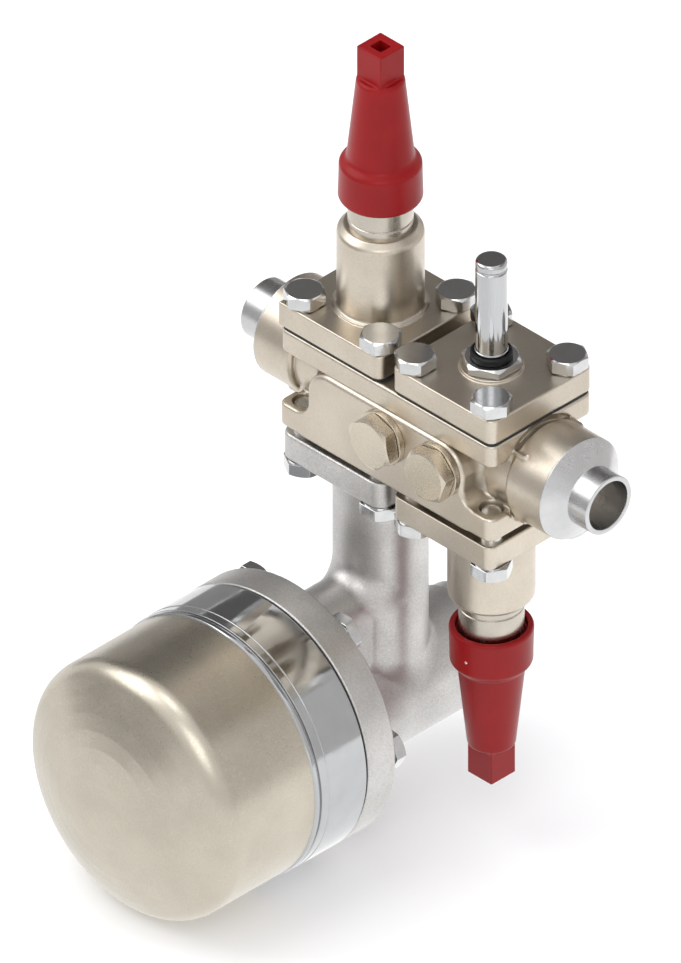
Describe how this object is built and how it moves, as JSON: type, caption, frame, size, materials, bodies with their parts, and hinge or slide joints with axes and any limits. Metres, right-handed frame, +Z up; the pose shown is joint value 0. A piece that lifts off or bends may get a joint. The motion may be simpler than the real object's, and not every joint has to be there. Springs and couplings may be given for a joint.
{
  "type": "refrigeration valve station",
  "caption": "Cast refrigeration valve station with weld ends, capped stop valves, a solenoid module and a float regulator in a domed chamber.",
  "frame": {"origin": "centre of the inlet weld face", "axes": "+X along the flow to the outlet weld end, -Y towards the domed chamber, +Z up"},
  "size_m": [0.2024, 0.221, 0.3672],
  "materials": {
    "plated_casting": "satin nickel-plated casting",
    "plated_steel": "satin nickel-plated steel",
    "grey_casting": "grey primed casting",
    "zinc_steel": "bright zinc plate",
    "turned_steel": "turned",
    "polished_steel": "polished stainless steel",
    "spring_steel": "drawn wire",
    "red_paint": "satin paint",
    "black_rubber": "matt",
    "gasket_fibre": "pressed fibre",
    "ptfe": "smooth white"
  },
  "bodies": {
    "station": {"valve_housing": "plated_casting", "side_plugs": "plated_steel", "plug_washers": "turned_steel", "inlet_seat_ring": "turned_steel", "inlet_gasket": "gasket_fibre", "inlet_bonnet": "plated_casting", "inlet_bonnet_bolts": "zinc_steel", "inlet_packing_rings": "ptfe", "inlet_gland_nut": "turned_steel", "outlet_seat_ring": "turned_steel", "outlet_gasket": "gasket_fibre", "outlet_bonnet": "plated_casting", "outlet_bonnet_bolts": "zinc_steel", "outlet_packing_rings": "ptfe", "outlet_gland_nut": "turned_steel", "solenoid_gasket": "gasket_fibre", "solenoid_cover": "plated_casting", "solenoid_cover_bolts": "zinc_steel", "solenoid_cage": "turned_steel", "armature_tube": "polished_steel", "tube_o_ring": "black_rubber", "armature_spring": "spring_steel", "piston_spring": "spring_steel", "float_gasket": "gasket_fibre", "float_body": "grey_casting", "float_body_bolts": "zinc_steel", "riser_tube": "turned_steel", "rear_plug": "turned_steel", "rear_plug_seal": "gasket_fibre", "chamber_gasket": "gasket_fibre", "chamber_ring": "polished_steel", "chamber_dome": "plated_steel", "chamber_bolts": "zinc_steel", "orifice_body": "turned_steel", "float_bracket": "turned_steel", "float_pin": "polished_steel"},
    "inlet_cone": {"inlet_valve_cone": "turned_steel", "inlet_cone_seal": "ptfe"},
    "inlet_spindle": {"inlet_spindle": "polished_steel"},
    "inlet_cap_seal": {"inlet_cap_seal": "black_rubber"},
    "inlet_cap": {"inlet_cap": "red_paint"},
    "outlet_cone": {"outlet_valve_cone": "turned_steel", "outlet_cone_seal": "ptfe"},
    "outlet_spindle": {"outlet_spindle": "polished_steel"},
    "outlet_cap_seal": {"outlet_cap_seal": "black_rubber"},
    "outlet_cap": {"outlet_cap": "red_paint"},
    "armature": {"armature": "turned_steel"},
    "main_piston": {"main_piston": "turned_steel", "piston_ring": "gasket_fibre"},
    "float": {"float_arm": "turned_steel", "float_ball": "polished_steel"},
    "needle": {"orifice_needle": "polished_steel"}
  },
  "joints": [
    {"name": "inlet_valve_lift", "type": "slide", "parent": "station", "child": "inlet_cone", "axis": [0, 0, 1], "range_m": [0, 0.008]},
    {"name": "inlet_spindle_turn", "type": "hinge", "parent": "inlet_cone", "child": "inlet_spindle", "pos_m": [0.0687, 0, 0.06], "axis": [0, 0, 1], "range_deg": [0, 1440]},
    {"name": "inlet_cap_lift", "type": "slide", "parent": "station", "child": "inlet_cap_seal", "axis": [0, 0, 1], "range_m": [0, 0.04]},
    {"name": "inlet_cap_turn", "type": "hinge", "parent": "inlet_cap_seal", "child": "inlet_cap", "pos_m": [0.0687, 0, 0.12], "axis": [0, 0, 1], "range_deg": [0, 7200]},
    {"name": "outlet_valve_lift", "type": "slide", "parent": "station", "child": "outlet_cone", "axis": [0, 0, -1], "range_m": [0, 0.008]},
    {"name": "outlet_spindle_turn", "type": "hinge", "parent": "outlet_cone", "child": "outlet_spindle", "pos_m": [0.1337, 0, -0.06], "axis": [0, 0, -1], "range_deg": [0, 1440]},
    {"name": "outlet_cap_lift", "type": "slide", "parent": "station", "child": "outlet_cap_seal", "axis": [0, 0, -1], "range_m": [0, 0.04]},
    {"name": "outlet_cap_turn", "type": "hinge", "parent": "outlet_cap_seal", "child": "outlet_cap", "pos_m": [0.1337, 0, -0.12], "axis": [0, 0, -1], "range_deg": [0, 7200]},
    {"name": "armature_lift", "type": "slide", "parent": "station", "child": "armature", "axis": [0, 0, 1], "range_m": [0, 0.0025], "stiffness_N_per_m": 300, "springref_m": -0.005, "deforming": ["armature_spring"]},
    {"name": "main_piston_lift", "type": "slide", "parent": "station", "child": "main_piston", "axis": [0, 0, 1], "range_m": [0, 0.005], "stiffness_N_per_m": 500, "springref_m": -0.006, "deforming": ["piston_spring"]},
    {"name": "float_swing", "type": "hinge", "parent": "station", "child": "float", "pos_m": [0.0687, -0.0795, -0.1485], "axis": [-1, 0, 0], "range_deg": [0, 30]},
    {"name": "needle_slide", "type": "slide", "parent": "station", "child": "needle", "axis": [0, -1, 0], "range_m": [0, 0.0042]}
  ],
  "couplings": [
    {"joint": "inlet_spindle_turn", "follows": "inlet_valve_lift", "rad_per_m": 3141.6},
    {"joint": "inlet_cap_turn", "follows": "inlet_cap_lift", "rad_per_m": 3141.6},
    {"joint": "outlet_spindle_turn", "follows": "outlet_valve_lift", "rad_per_m": 3141.6},
    {"joint": "outlet_cap_turn", "follows": "outlet_cap_lift", "rad_per_m": 3141.6},
    {"joint": "needle_slide", "follows": "float_swing", "m_per_rad": 0.008}
  ]
}
